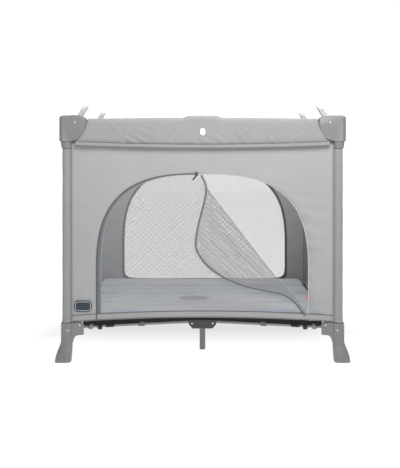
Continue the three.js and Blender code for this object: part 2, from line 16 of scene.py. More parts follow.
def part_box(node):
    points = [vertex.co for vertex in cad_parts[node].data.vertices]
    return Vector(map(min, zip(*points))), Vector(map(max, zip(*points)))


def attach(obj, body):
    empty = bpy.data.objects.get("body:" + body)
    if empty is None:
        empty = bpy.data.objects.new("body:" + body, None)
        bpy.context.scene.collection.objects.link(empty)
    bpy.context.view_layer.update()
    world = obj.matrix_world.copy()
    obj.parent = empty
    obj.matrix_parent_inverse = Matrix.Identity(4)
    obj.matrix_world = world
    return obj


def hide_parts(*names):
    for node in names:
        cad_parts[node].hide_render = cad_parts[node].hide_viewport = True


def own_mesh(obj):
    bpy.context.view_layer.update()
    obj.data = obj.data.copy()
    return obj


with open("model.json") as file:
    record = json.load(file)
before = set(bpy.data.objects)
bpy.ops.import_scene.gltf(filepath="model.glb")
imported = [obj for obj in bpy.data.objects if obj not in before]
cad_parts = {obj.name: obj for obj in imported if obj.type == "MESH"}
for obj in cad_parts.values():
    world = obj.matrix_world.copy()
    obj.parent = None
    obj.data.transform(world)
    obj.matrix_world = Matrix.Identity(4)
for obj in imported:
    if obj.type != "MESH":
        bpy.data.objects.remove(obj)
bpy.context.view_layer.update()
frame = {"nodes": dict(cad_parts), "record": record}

# ---- places read from the frame ----
post_low, post_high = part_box("post_front_right")
POST = (post_low.x + post_high.x) / 2          # post axes, in x and in y
TUBE = (post_high.x - post_low.x) / 2
wall_low, wall_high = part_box("wall_front")
WALL_Y = (wall_low.y + wall_high.y) / 2        # middle of the front cloth
HEM_Z, WALL_TOP = wall_low.z, wall_high.z
pad_low, pad_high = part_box("front_rail_pad")
FOOT_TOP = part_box("foot_front_left")[1].z
cross_low, cross_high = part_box("cross_tube_front")
ARM = (cross_high.x - cross_low.x) / 2         # radius of the floor tubes
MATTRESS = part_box("mattress")

# ---- sizes of the cloth ----
SLEEVE = TUBE + 0.002                          # cloth sleeve on a post
WALL_HALF = POST - SLEEVE
HEM_RISE = 0.015                               # the hem lifts this much in the middle
ARCH_HALF = 0.349                              # the arched window
ARCH_SPRING = 0.29
ARCH_RISE = 0.3255
ARCH_SILL = 0.157
ARCH_POWER = 2.8
SILL_POWER = 14
BACK_SILL = 0.150                              # the other windows reach down behind the mattress
BACK_HEM_RISE = 0.006
HEM_WIDE = 0.021
BACK_HEM_WIDE = 0.016
BACK_ARCH_HALF = 0.34
BACK_ARCH_SHIFT = 0.011                        # the back window sits a little off the middle
CLOTH = 0.0012
QUARTERS = {"front": 0, "right": 1, "back": 2, "left": 3}
WALL_BODIES = {"front": "post_fl", "right": "post_fr", "back": "post_bl", "left": "post_fl"}


# ---- shader maths ----
class Wire:
    """A socket's value inside a Finish; sums and products of it add Math nodes."""

    def __init__(self, finish, socket):
        self.finish, self.socket = finish, socket

    def _with(self, operation, *values):
        return self.finish.make("ShaderNodeMath", {"operation": operation}, *values)

    def __add__(self, other):
        return self._with("ADD", self, other)

    def __sub__(self, other):
        return self._with("SUBTRACT", self, other)

    def __rsub__(self, other):
        return self._with("SUBTRACT", other, self)

    def __mul__(self, other):
        return self._with("MULTIPLY", self, other)

    def __truediv__(self, other):
        return self._with("DIVIDE", self, other)

    __radd__ = __add__
    __rmul__ = __mul__

    def under(self, limit):
        return self._with("LESS_THAN", self, limit)

    def power(self, exponent):
        return self._with("POWER", self, exponent)

    def size(self):
        return self._with("ABSOLUTE", self)

    def sine(self):
        return self._with("SINE", self)

    def root(self):
        return self._with("SQRT", self)

    def least(self, other):
        return self._with("MINIMUM", self, other)

    def most(self, other):
        return self._with("MAXIMUM", self, other)

    def clamped(self):
        return self.finish.make("ShaderNodeClamp", {}, self)


class Finish:
    """A material and the nodes that make it."""

    def __init__(self, name, rough=0.8, **fixed):
        self.material = bpy.data.materials.new(name)
        self.material.use_nodes = True
        self.tree = self.material.node_tree
        self.tree.nodes.clear()
        self.surface = self.tree.nodes.new("ShaderNodeBsdfPrincipled")
        self.output = self.tree.nodes.new("ShaderNodeOutputMaterial")
        self.tree.links.new(self.surface.outputs[0], self.output.inputs[0])
        self.surface.inputs["Roughness"].default_value = rough
        for socket, value in fixed.items():
            self.surface.inputs[socket.replace("_", " ")].default_value = value

    def make(self, kind, settings, *values, out=0, **named):
        """A new node: its settings first, then what its sockets hold, by place or by name."""
        node = self.tree.nodes.new(kind)
        stops = settings.pop("stops", None)
        for key, value in settings.items():
            setattr(node, key, value)
        if stops:
            ramp = node.color_ramp
            while len(ramp.elements) < len(stops):
                ramp.elements.new(0.5)
            for element, (place, colour) in zip(ramp.elements, stops):
                element.position, element.color = place, colour
        for key, value in [*enumerate(values), *named.items()]:
            socket = node.inputs[key if isinstance(key, int) else key.replace("_", " ")]
            if isinstance(value, Wire):
                self.tree.links.new(value.socket, socket)
            else:
                socket.default_value = value
        return Wire(self, node.outputs[out])

    def place(self):
        return self.make("ShaderNodeTexCoord", {}, out="Object")

    def axes(self, vector=None):
        vector = vector or self.place()
        return [self.make("ShaderNodeSeparateXYZ", {}, vector, out=i) for i in range(3)]

    def speckle(self, scale, detail=2.0, stretch=(1, 1, 1), rough=0.5):
        spot = self.make("ShaderNodeMapping", {}, self.place(), Scale=stretch)
        return self.make("ShaderNodeTexNoise", {}, Vector=spot, Scale=scale, Detail=detail,
                         Roughness=rough, out="Fac")

    def mix(self, amount, first, second):
        node = self.tree.nodes.new("ShaderNodeMix")
        node.data_type = "RGBA"
        for socket, value in ((0, amount), (6, first), (7, second)):
            if isinstance(value, Wire):
                self.tree.links.new(value.socket, node.inputs[socket])
            else:
                node.inputs[socket].default_value = value
        return Wire(self, node.outputs[2])

    def between(self, amount, first, second):
        """A colour from `first` at 0 to `second` at 1."""
        return self.mix(amount.clamped(), first, second)

    def feed(self, **sockets):
        for name, wire in sockets.items():
            self.tree.links.new(wire.socket, self.surface.inputs[name.replace("_", " ")])
        return self

    def bump(self, height, distance, strength=1.0):
        normal = self.make("ShaderNodeBump", {}, Strength=strength, Distance=distance, Height=height)
        return self.feed(Normal=normal)


def grey(value, blue=0.0):
    """A colour from a screen grey of 0 to 255, with `blue` more or less of blue over red."""
    levels = (value - blue / 2, value, value + blue / 2)
    return (*[((level / 255 + 0.055) / 1.055) ** 2.4 for level in levels], 1)


def colour(red, green, blue):
    return (*[((level / 255 + 0.055) / 1.055) ** 2.4 for level in (red, green, blue)], 1)


def woven(name, tone, blue=2, thread=0.0011, depth=0.00022, mottle=8, sheen=0.25):
    """Plain-weave polyester: crossing threads, a soft sheen and faint clouding."""
    f = Finish(name, 0.85, Sheen_Weight=sheen, Sheen_Roughness=0.5)
    x, y, z = f.axes()
    across = (x + y) * (math.tau / thread)
    along = z * (math.tau / thread)
    weave = across.sine() * along.sine()
    cloud = f.speckle(9, 3)
    slub = f.speckle(60, 2, (1, 1, 12))
    shade = f.between(cloud * 0.75 + slub * 0.25, grey(tone - mottle, blue), grey(tone + mottle, blue))
    f.feed(Base_Color=f.between(weave * 0.5 + 0.5, f.mix(0.06, shade, grey(30)), shade))
    f.feed(Roughness=cloud * 0.12 + 0.78)
    return f.bump(weave * 0.6 + slub * 0.8, depth)


KNIT_WIDE, KNIT_TALL, KNIT_MEAN = 0.0177, 0.0125, 0.42


def netting(name, tone, strand=0.21, lattice=0.0, wide=0.005, tall=0.0047):
    """Knitted mesh: diamond holes `wide` by `tall`, its strands over a share `strand` of each way.

    A broader diamond knit thickens the strands by up to `lattice` of that share.
    """
    f = Finish(name, 0.9)
    x, y, z = f.axes()
    level = x + y

    def crossed(across, up):
        first = ((level / across + z / up) * math.pi).sine().size()
        second = ((level / across - z / up) * math.pi).sine().size()
        return first.least(second)

    knit = 1 - (crossed(KNIT_WIDE, KNIT_TALL) * 1.7).least(1.0)
    share = (knit - KNIT_MEAN) * lattice + strand
    soft = f.speckle(6, 2)
    f.feed(Base_Color=f.between(soft, grey(tone - 7, 2), grey(tone + 7, 2)))
    f.feed(Alpha=crossed(wide, tall).under(share * (math.pi / 2)))
    f.material.surface_render_method = "DITHERED"
    return f


def moulded(name, tone, blue=1, rough=0.42, grain=0.00012):
    """Moulded plastic with a fine spark texture, a little paler along its worn edges."""
    f = Finish(name, rough, Coat_Weight=0.08, Coat_Roughness=0.35)
    fine = f.speckle(900, 2)
    broad = f.speckle(12, 3)
    worn = f.make("ShaderNodeNewGeometry", {}, out="Pointiness")
    base = f.between(broad, grey(tone - 4, blue), grey(tone + 4, blue))
    f.feed(Base_Color=f.between((worn - 0.53) * 9, base, grey(min(tone + 26, 250), blue)))
    f.feed(Roughness=broad * 0.14 + (rough - 0.07))
    return f.bump(fine, grain, 0.6)


def coated_steel(name, tone, rough=0.38):
    """Powder-coated tube: orange-peel skin over a faintly metallic grey."""
    f = Finish(name, rough, Coat_Weight=0.25, Coat_Roughness=0.3)
    peel = f.speckle(420, 3)
    cloud = f.speckle(16, 2)
    f.feed(Base_Color=f.between(cloud, grey(tone - 5), grey(tone + 5)))
    f.feed(Roughness=peel * 0.15 + (rough - 0.07))
    return f.bump(peel, 0.0002, 0.5)


def bare_steel(name):
    f = Finish(name, 0.3, Metallic=1.0)
    scratch = f.speckle(300, 3, (1, 1, 20))
    f.feed(Base_Color=f.between(scratch, grey(190), grey(225)), Roughness=scratch * 0.2 + 0.2)
    return f.bump(scratch, 0.00005, 0.4)


def milky_strap(name):
    """Ribbed milky strap."""
    f = Finish(name, 0.45, Subsurface_Weight=0.15)
    x, y, z = f.axes()
    rib = (y * (math.tau / 0.0021)).sine()
    cloud = f.speckle(90, 2)
    f.feed(Base_Color=f.between(cloud, grey(186), grey(206)), Roughness=cloud * 0.2 + 0.35)
    return f.bump(rib * 0.7 + cloud * 0.3, 0.0003)


def gloss_white(name):
    f = Finish(name, 0.2, Coat_Weight=0.6, Coat_Roughness=0.1)
    cloud = f.speckle(60, 2)
    f.feed(Base_Color=f.between(cloud, grey(236), grey(250)), Roughness=cloud * 0.08 + 0.16)
    return f.bump(f.speckle(700, 2), 0.00005, 0.3)


def mattress_print(name):
    """Soft cover printed with pale washes of colour that run from side to side."""
    f = Finish(name, 0.9, Sheen_Weight=0.3, Sheen_Roughness=0.5)
    x, y, z = f.axes()
    streak = (1.1, 3.4, 1)
    washes = [
        (4.2, 0.0, colour(152, 152, 184)), (5.1, 3.3, colour(148, 166, 180)),
        (4.7, 7.9, colour(180, 160, 172)), (6.3, 12.4, colour(154, 166, 154)),
        (5.6, 21.0, colour(188, 158, 128)),
    ]
    tint = grey(170, 8)
    for index, (scale, shift, wash) in enumerate(washes):
        spot = f.make("ShaderNodeMapping", {}, f.place(), Location=(shift, shift * 0.7, 0), Scale=streak)
        blot = f.make("ShaderNodeTexNoise", {}, Vector=spot, Scale=scale, Detail=4.0, Roughness=0.6,
                      out="Fac")
        edge = 0.5 if index < 4 else 0.6
        tint = f.between((blot - edge) * 7, tint, wash)
    stroke = f.speckle(46, 4, (0.3, 1.8, 1))
    tint = f.between((stroke - 0.5) * 5, tint, f.mix(0.42, tint, grey(118, 12)))
    fibre = f.speckle(700, 2, (1, 0.5, 1))
    f.feed(Base_Color=tint, Roughness=fibre * 0.15 + 0.8)
    patch_x, patch_y, patch_r = -0.03, -0.125, 0.056
    reach = ((x - patch_x).power(2.0) + (y - patch_y).power(2.0)).root()
    f.feed(Base_Color=f.mix(reach.under(patch_r), tint, grey(122)))
    return f.bump(fibre * 0.5 + stroke * 0.5, 0.0004)


def studio_floor(name):
    """A lit white sweep that glows; its glow is dimmed under the object into a painted shadow, and is full
    white in front and further out.
    """
    f = Finish(name, 0.9, Emission_Strength=1.0)
    x, y, z = f.axes()
    cloud = f.speckle(2, 2)
    forward = (0.1 - y) / 0.3
    outward = ((x.power(2.0) + y.power(2.0)).root() - 0.5) / 0.2
    # painted shadow: the glow is 0.74 under the object and rises to full white towards the front and outwards
    f.feed(Emission_Color=f.between(forward.most(outward), (0.74, 0.74, 0.74, 1), (1, 1, 1, 1)))
    return f.feed(Base_Color=f.between(cloud, (0.12, 0.12, 0.12, 1), (0.13, 0.13, 0.13, 1)))


WALL = woven("wall_cloth", 163)
PADDING = woven("rail_cloth", 149, thread=0.0013, mottle=7)
SLEEVING = woven("sleeve_cloth", 144)
SEAM = woven("seam_cloth", 98)
SOFT_SEAM = woven("seam_thread", 172)
PALE = woven("binding_cloth", 178)
WELT_CLOTH = woven("welt_cloth", 148)
BINDING = woven("window_binding", 92)
WELT_DARK = woven("post_welt", 124)
FOLD_NET = woven("fold_line", 150)
HEM = woven("hem_cloth", 156)
TRIM = woven("tape_edge", 150)
# painted shade: all three are one knitted mesh; the window nets (96) and the folded flap (126) are darker
# copies of the door net (148) for the shade they are seen in
NET = netting("mesh_net", 96)
DOOR_NET = netting("door_net", 148, 0.18, 0.1)
FLAP_NET = netting("flap_net", 126, 0.19, 0.02)
BLACK = woven("floor_cloth", 26, sheen=0.1, mottle=4)
PRINT = mattress_print("mattress_cover")
COVER = moulded("cover_plastic", 117)
FOOT = moulded("foot_plastic", 119)
DARK = moulded("joint_plastic", 78)
KNOB = moulded("knob_plastic", 24, rough=0.35)
CLIP = moulded("clip_plastic", 116)
STEEL = coated_steel("frame_steel", 128)
RIVET = bare_steel("rivet_steel")
WHITE = gloss_white("button_plastic")
STRAP = milky_strap("milky_strap")
NAVY = moulded("badge_rubber", 48, blue=26, rough=0.5)
BADGE_LINE = moulded("badge_line", 196, rough=0.5)
ZIP = woven("zip_tape", 112, blue=6, thread=0.0008)
ZIP_DARK = moulded("zip_coil", 62, blue=6, rough=0.5)
TAG = woven("sewn_tag", 150)
TAG.feed(Base_Color=TAG.between(TAG.speckle(200), colour(205, 84, 104), colour(224, 120, 132)))


# ---- mesh helpers ----
def finish_piece(bm, name, look, body=None, smooth=True, sharp=None):
    """Turns a bmesh into a piece with its material and body."""
    bmesh.ops.remove_doubles(bm, verts=bm.verts, dist=1e-6)
    mesh = bpy.data.meshes.new(name)
    bm.to_mesh(mesh)
    bm.free()
    mesh.materials.append(look.material)
    piece = bpy.data.objects.new(name, mesh)
    bpy.context.scene.collection.objects.link(piece)
    if smooth:
        mesh.polygons.foreach_set("use_smooth", [True] * len(mesh.polygons))
    if sharp is not None:
        mesh.set_sharp_from_angle(angle=math.radians(sharp))
    if body:
        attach(piece, body)
    return piece


def modifier(piece, kind, **settings):
    added = piece.modifiers.new(kind.lower(), kind)
    for key, value in settings.items():
        setattr(added, key, value)
    return added


def turned(bm, side):
    """Turns what is made for the front round to its side."""
    bmesh.ops.rotate(bm, verts=bm.verts, cent=(0, 0, 0),
                     matrix=Matrix.Rotation(QUARTERS[side] * math.pi / 2, 3, "Z"))


def resampled(points, count, closed=True):
    """`count` points evenly along a line."""
    points = np.array(points)
    if closed:
        points = np.vstack([points, points[:1]])
    run = np.concatenate([[0], np.cumsum(np.linalg.norm(np.diff(points, axis=0), axis=1))])
    marks = np.linspace(0, run[-1], count, endpoint=not closed)
    return np.column_stack([np.interp(marks, run, points[:, i]) for i in range(points.shape[1])])


def arch(grow=0.0, half=ARCH_HALF, count=160, sill=ARCH_SILL):
    """The window's closed outline, (x, z), evenly spaced, `grow` larger all round."""
    outline = []
    for angle in np.linspace(0, math.tau, 720, endpoint=False):
        c, s = math.cos(angle), math.sin(angle)
        power = ARCH_POWER if s >= 0 else SILL_POWER
        rise = ARCH_RISE + grow if s >= 0 else ARCH_SPRING - sill + grow
        outline.append((math.copysign((half + grow) * abs(c) ** (2 / power), c),
                        ARCH_SPRING + math.copysign(rise * abs(s) ** (2 / power), s)))
    return resampled(outline, count)


def hem_height(x, rise=HEM_RISE):
    return HEM_Z + rise * (1 - (x / WALL_HALF) ** 2)


def wall_edge(count=160, hem_rise=HEM_RISE):
    """The wall cloth's outline, from the middle of its right edge round by the rail cover."""
    right, left = WALL_HALF, -WALL_HALF
    outline = [(right, ARCH_SPRING)]
    outline += [(x, pad_bottom(x) + 0.001) for x in np.linspace(right, left, 40)]
    outline += [(x, hem_height(x, hem_rise)) for x in np.linspace(left, right, 40)]
    return resampled(outline, count)


def outline_loop(bm, outline, y):
    """A closed ring of edges along an outline of (x, z) points."""
    ring = bmesh.ops.create_circle(bm, segments=len(outline), radius=1)["verts"]
    for vert, (x, z) in zip(ring, outline):
        vert.co = (x, y, z)
    return ring


def band(bm, inner, outer, y, steps=0):
    """Cloth between two outlines with as many points each."""
    rings = [outline_loop(bm, inner, y), outline_loop(bm, outer, y)]
    edges = {edge for ring in rings for vert in ring for edge in vert.link_edges}
    made = bmesh.ops.bridge_loops(bm, edges=list(edges))
    if steps:
        across = [edge for edge in made["edges"]]
        bmesh.ops.subdivide_edges(bm, edges=across, cuts=steps, use_grid_fill=True)
    return rings


def ribbon(points, width, thick, normal=(0, -1, 0)):
    """A flat strip of cloth or tape along points, `width` across and `thick` deep."""
    bm = bmesh.new()
    normal = Vector(normal)
    points = [Vector(p) for p in points]
    last = None
    for i, point in enumerate(points):
        along = (points[min(i + 1, len(points) - 1)] - points[max(i - 1, 0)]).normalized()
        side = along.cross(normal).normalized() * width / 2
        deep = normal * thick / 2
        corners = [point + side + deep, point - side + deep, point - side - deep, point + side - deep]
        verts = [bm.verts.new(c) for c in corners]
        if last:
            for k in range(4):
                bm.faces.new((last[k], last[(k + 1) % 4], verts[(k + 1) % 4], verts[k]))
        else:
            bm.faces.new(verts[::-1])
        last = verts
    bm.faces.new(last)
    bmesh.ops.recalc_face_normals(bm, faces=bm.faces)
    return bm


def round_bar(bm, start, end, radius, radius_end=None, sides=24):
    start, end = Vector(start), Vector(end)
    along = end - start
    place = Matrix.Translation((start + end) / 2) @ along.to_track_quat("Z", "Y").to_matrix().to_4x4()
    return bmesh.ops.create_cone(bm, cap_ends=True, segments=sides, radius1=radius,
                                 radius2=radius if radius_end is None else radius_end,
                                 depth=along.length, matrix=place)["verts"]


def rounded(bm, width, segments=2, angle=30):
    """Rounds every edge sharper than `angle`."""
    edges = [e for e in bm.edges if e.is_manifold and e.calc_face_angle(0) > math.radians(angle)]
    bmesh.ops.bevel(bm, geom=edges, offset=width, offset_type="OFFSET", affect="EDGES",
                    segments=segments, profile=0.5, material=-1, clamp_overlap=True)


def body_of_node(node):
    for body, nodes in frame["record"]["behaviour"]["bodies"].items():
        if node in nodes:
            return body
    raise KeyError(node)


def refined(node, look, round_by=0.0012, sharp=35):
    """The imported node's own shape with its corners rounded and its curves smoothed."""
    bm = bmesh.new()
    bm.from_mesh(frame["nodes"][node].data)
    bmesh.ops.remove_doubles(bm, verts=bm.verts, dist=2e-5)
    bmesh.ops.dissolve_degenerate(bm, edges=bm.edges, dist=2e-5)
    bmesh.ops.dissolve_limit(bm, angle_limit=math.radians(0.1), verts=bm.verts, edges=bm.edges)
    piece = finish_piece(bm, node + "_shell", look, body_of_node(node), sharp=sharp)
    if round_by:
        modifier(piece, "BEVEL", width=round_by, segments=2, limit_method="ANGLE",
                 angle_limit=math.radians(max(sharp, 30)), use_clamp_overlap=True)
        modifier(piece, "WEIGHTED_NORMAL", keep_sharp=True, weight=80)
    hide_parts(node)
    return piece


# ---- hard parts ----
def screw_head(name, place, facing, radius, look, body, deep=0.0016):
    bm = bmesh.new()
    facing = Vector(facing)
    place = Vector(place)
    round_bar(bm, place, place + facing * deep, radius, radius * 0.8, 20)
    rounded(bm, radius * 0.18)
    return finish_piece(bm, name, look, body, sharp=50)


def rounded_cover(corner, body):
    """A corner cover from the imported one, each flat face shaded flat and its edges rounded."""
    node = f"corner_cover_{corner}"
    bm = bmesh.new()
    bm.from_mesh(frame["nodes"][node].data)
    bmesh.ops.remove_doubles(bm, verts=bm.verts, dist=2e-5)
    bmesh.ops.dissolve_limit(bm, angle_limit=math.radians(0.1), verts=bm.verts, edges=bm.edges)
    rounded(bm, 0.0012, 3, 40)
    bmesh.ops.triangulate(bm, faces=[face for face in bm.faces if len(face.verts) > 4])
    piece = finish_piece(bm, f"{node}_shell", COVER, f"post_{body}", sharp=9)
    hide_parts(node)


FOOT_RIVETS = ((0.4423, 0.1027), (0.406, 0.1162))   # from the middle in x, and the height


def outer_face(node, x, z, toward):
    """Where a node's face that looks out along y is at (x, z), and which way it faces."""
    bm = bmesh.new()
    bm.from_mesh(frame["nodes"][node].data)
    tree = BVHTree.FromBMesh(bm)
    bm.free()
    place, facing = tree.ray_cast(Vector((x, toward * 0.6, z)), Vector((0, -toward, 0)))[:2]
    return place, facing


def badge_ring():
    """A pale raised line round the badge, a little inside its edge."""
    low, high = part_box("badge")
    inset, corner, steps = 0.0042, 0.46, 96
    half_x, half_z = (high.x - low.x) / 2 - inset, (high.z - low.z) / 2 - inset
    centre_x, centre_z = (low.x + high.x) / 2, (low.z + high.z) / 2
    line = []
    for angle in np.linspace(0, math.tau, steps + 1):
        c, s = math.cos(angle), math.sin(angle)
        line.append((centre_x + math.copysign(half_x * abs(c) ** corner, c), low.y - 0.0001,
                     centre_z + math.copysign(half_z * abs(s) ** corner, s)))
    finish_piece(ribbon(line, 0.0011, 0.0008), "badge_ring", BADGE_LINE,
                 body_of_node("badge"), sharp=50)


def hard_parts():
    for corner, body in (("front_left", "fl"), ("front_right", "fr"), ("back_left", "bl"),
                         ("back_right", "br")):
        x = 1 if "right" in corner else -1
        y = 1 if "back" in corner else -1
        rounded_cover(corner, body)
        refined(f"foot_{corner}", FOOT, 0.0018)
        refined(f"floor_arm_{corner}", STEEL, 0)
        refined(f"post_{corner}", STEEL, 0)
        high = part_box(f"corner_cover_{corner}")[1].z
        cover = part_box(f"corner_cover_{corner}")
        face_y = cover[0].y if y < 0 else cover[1].y
        face_x = cover[0].x if x < 0 else cover[1].x
        inset = 0.052
        screw_head(f"cover_screw_{corner}_a", (face_x - x * inset, face_y - y * 0.0006, high - 0.025),
                   (0, y, 0), 0.0035, RIVET, f"post_{body}")
        screw_head(f"cover_screw_{corner}_b", (face_x - x * 0.0006, face_y - y * inset, high - 0.025),
                   (x, 0, 0), 0.0035, RIVET, f"post_{body}")
        for index, (reach, rise) in enumerate(FOOT_RIVETS):
            place, facing = outer_face(f"foot_{corner}", x * reach, rise, y)
            screw_head(f"foot_rivet_{corner}_{index + 1}", place - facing * 0.0004, facing, 0.0036,
                       RIVET, f"post_{body}")
    for side in QUARTERS:
        refined(f"{side}_latch", COVER, 0.001)
        refined(f"{side}_latch_button", WHITE, 0.001)
        ends = ("left", "right") if side in ("front", "back") else ("front", "back")
        for end in ends:
            refined(f"{side}_rail_{end}", STEEL, 0)
    for end in ("front", "back"):
        refined(f"floor_joint_{end}", DARK, 0.0014)
        refined(f"centre_leg_{end}", STEEL, 0)
        refined(f"cross_tube_{end}", STEEL, 0)
        y = -1 if end == "front" else 1
        low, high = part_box(f"floor_joint_{end}")
        face = low.y if y < 0 else high.y
        for x in (-1, 1):
            screw_head(f"joint_rivet_{end}_{'left' if x < 0 else 'right'}",
                       (x * 0.036, face - y * 0.0004, high.z - 0.0173), (0, y, 0), 0.0042, RIVET,
                       f"joint_{end[0]}")
    refined("floor_hub", DARK, 0.0014)
    refined("hub_pull_strap", STRAP, 0)
    for x in ("left", "right"):
        for y in ("front", "back"):
            refined(f"grab_loop_{x}_{y}", STRAP, 0.0004)
    refined("badge", NAVY, 0.0008)
    badge_ring()
    refined("zip_slider", ZIP_DARK, 0.0006)
    refined("zip_pull", ZIP_DARK, 0.0004)


# ---- cloth walls ----
def pucker(side, x, z):
    """How far the wall cloth stands in front of its plane."""
    lift = 0.0022 * noise.noise(Vector((x * 5, z * 4, QUARTERS[side] * 7.3)))
    if side != "front":
        ripple = math.sin(z * 95 + 3 * noise.noise(Vector((x * 9, z * 3, 5))))
        reach = max(0, 1 - abs(abs(x) - 0.385) / 0.035)
        return lift + 0.0009 * ripple * reach
    # folds that fan out to the right from the open end of the zip
    angle = math.degrees(math.atan2(0.615 - z, x + 0.001))
    if x > 0.15 and 2 < angle < 62:
        phase = math.radians(angle) * 34 + 1.6 * noise.noise(Vector((x * 6, z * 6, 1)))
        wave = 1 - 2 * abs(math.sin(phase)) ** 0.6
        spread = min(1, (x - 0.15) / 0.12) * min(1, (WALL_HALF - x) / 0.05)
        strength = 0.55 + 0.6 * noise.noise(Vector((angle * 0.11, 3, 1)))
        lift += 0.0046 * wave * spread * strength * min(1, (angle - 2) / 8) * min(1, (62 - angle) / 10)
    # short level folds beside the closed zip
    if x < -0.33:
        ripple = 1 - 2 * abs(math.sin(z * 120 + 4 * noise.noise(Vector((z * 7, 2, 1))))) ** 0.6
        strength = max(0, noise.noise(Vector((z * 14, 9, 4))) + 0.15)
        near = max(0, 1 - abs(x + 0.372) / 0.045)
        lift += 0.0030 * ripple * strength * near
    return lift


def smooth_line(points, count):
    """`count` points on a smooth curve through `points`."""
    points = np.array(points, dtype=float)
    ends = np.vstack([2 * points[0] - points[1], points, 2 * points[-1] - points[-2]])
    fine = []
    for a, b, c, d in zip(ends, ends[1:], ends[2:], ends[3:]):
        for t in np.linspace(0, 1, 16, endpoint=False):
            fine.append(0.5 * (2 * b + (c - a) * t + (2 * a - 5 * b + 4 * c - d) * t ** 2
                               + (3 * b - a - 3 * c + d) * t ** 3))
    return resampled(fine + [points[-1]], count, closed=False)


def offset_line(points, by):
    """The line moved sideways, to its left for a positive `by`."""
    points = np.array(points)
    along = np.gradient(points, axis=0)
    along /= np.linalg.norm(along, axis=1)[:, None]
    return points + by * np.column_stack([-along[:, 1], along[:, 0]])


def upright_ribbon(name, line, width, thick, y, look, side="front", lift=None):
    """A strip of tape or binding that follows a line of (x, z) points on a wall."""
    places = [(x, y - (lift[i] if lift is not None else 0), z) for i, (x, z) in enumerate(line)]
    bm = ribbon(places, width, thick)
    turned(bm, side)
    return finish_piece(bm, name, look, sharp=50)


def half_arch(grow, right=True, half=ARCH_HALF, start=0.0, count=90):
    """One half of the arch, (x, z), from the hem on its side up and over to x = `start`."""
    line = []
    for angle in np.linspace(0, math.pi / 2, 300):
        c, s = math.cos(angle), math.sin(angle)
        line.append(((half + grow) * c ** (2 / ARCH_POWER),
                     ARCH_SPRING + (ARCH_RISE + grow) * s ** (2 / ARCH_POWER)))
    line = [(half + grow, hem_height(half) + 0.002)] + line
    line = [(x, z) for x, z in line if x >= start]
    line = resampled(line, count, closed=False)
    return line if right else line * (-1, 1)


def wall_cloth(side):
    front = side == "front"
    half = ARCH_HALF if front else BACK_ARCH_HALF
    sill = ARCH_SILL if front else BACK_SILL
    hem_rise, hem_wide = (HEM_RISE, HEM_WIDE) if front else (BACK_HEM_RISE, BACK_HEM_WIDE)
    shift = (-BACK_ARCH_SHIFT if side == "back" else 0.0, 0.0)
    count = 520 if front else 160
    edge = wall_edge(count, hem_rise)
    window = arch(0.0, half, count, sill) + shift
    bm = bmesh.new()
    band(bm, window, edge, WALL_Y, steps=26)
    for vert in bm.verts:
        held = min(1, (WALL_HALF - abs(vert.co.x)) / 0.015)
        vert.co.y -= pucker(side, vert.co.x, vert.co.z) * held
    bmesh.ops.recalc_face_normals(bm, faces=bm.faces)
    turned(bm, side)
    wall = finish_piece(bm, f"wall_cloth_{side}", WALL)
    modifier(wall, "SOLIDIFY", thickness=CLOTH, offset=0)
    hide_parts(f"wall_{side}")
    hem_line = [(x, hem_height(x, hem_rise) + hem_wide / 2 + 0.001)
                for x in np.linspace(-WALL_HALF, WALL_HALF, 40)]
    hem = upright_ribbon(f"wall_hem_{side}", hem_line, hem_wide, 0.0034, WALL_Y, HEM, side)
    trims = [hem]
    for name, edge_z in (("top", hem_wide / 2), ("bottom", 0.0015 - hem_wide / 2)):
        line = [(x, z + edge_z) for x, z in hem_line]
        trims.append(upright_ribbon(f"hem_seam_{name}_{side}", line, 0.0026, 0.0044, WALL_Y, SEAM,
                                    side))
    if not front:
        bm = bmesh.new()
        outline_loop(bm, arch(0.004, half, 120, sill) + shift, WALL_Y)
        bmesh.ops.contextual_create(bm, geom=bm.edges)
        bmesh.ops.triangulate(bm, faces=bm.faces)
        turned(bm, side)
        net = finish_piece(bm, f"window_net_{side}", NET, smooth=False)
        bm = bmesh.new()
        band(bm, arch(-0.0005, half, sill=sill) + shift, arch(0.009, half, sill=sill) + shift, WALL_Y)
        bmesh.ops.recalc_face_normals(bm, faces=bm.faces)
        turned(bm, side)
        binding = finish_piece(bm, f"window_binding_{side}", BINDING)
        modifier(binding, "SOLIDIFY", thickness=0.0034, offset=0)
        trims.append(binding)
    pad_bottom(WALL_HALF) + 0.001 - HEM_Z
    return [wall, *trims] + ([] if front else [net])


FREE_EDGE = [(-0.004, 0.612), (0.012, 0.572), (0.005, 0.520), (-0.015, 0.440), (-0.022, 0.381),
             (-0.010, 0.348), (0.017, 0.315), (0.066, 0.279), (0.139, 0.249), (0.211, 0.232),
             (0.267, 0.219), (0.304, 0.193), (0.339, 0.150)]
FOLD = [(0.002, 0.607), (0.013, 0.572), (0.062, 0.506), (0.150, 0.392), (0.240, 0.277),
        (0.294, 0.226), (0.341, 0.156)]
DOOR_Y = WALL_Y + 0.0012
SLIDER_X = -0.02


